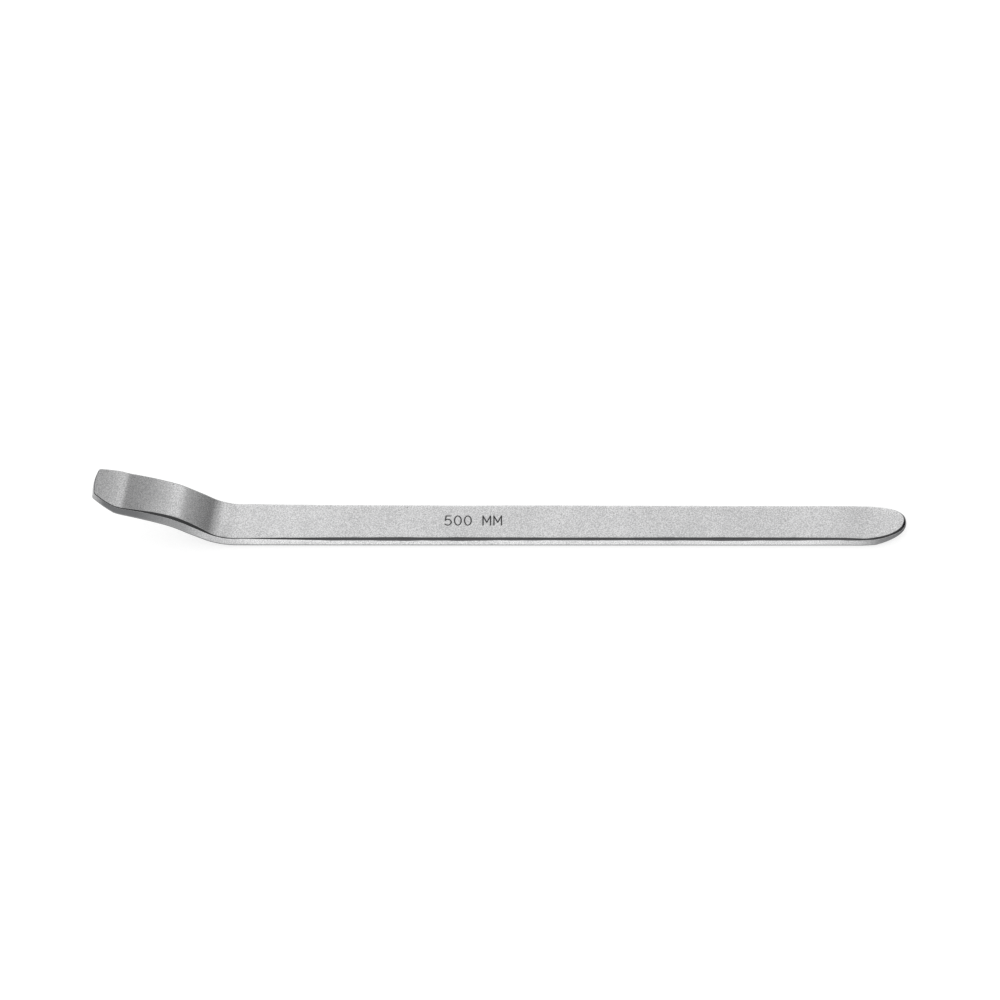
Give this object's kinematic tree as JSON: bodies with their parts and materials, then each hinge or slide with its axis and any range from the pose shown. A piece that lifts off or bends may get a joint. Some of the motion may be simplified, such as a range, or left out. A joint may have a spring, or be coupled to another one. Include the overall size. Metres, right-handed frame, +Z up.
{
  "type": "tyre lever",
  "caption": "One-piece forged steel lever with a flat bar, a bent-up spoon end that hooks under a tyre bead and a thin rounded plain end.",
  "frame": {"origin": "on the surface that the lever lies on, under the middle of its overall length and width", "axes": "+X along the bar from the spoon to the plain end, +Y across the bar, +Z up, towards the side that the spoon is bent to"},
  "size_m": [0.5, 0.029, 0.0483],
  "materials": {
    "plated_steel": "satin plated, fine ground grain, dark dressed edges"
  },
  "bodies": {
    "root": {"lever_forging": "plated_steel"}
  },
  "joints": []
}
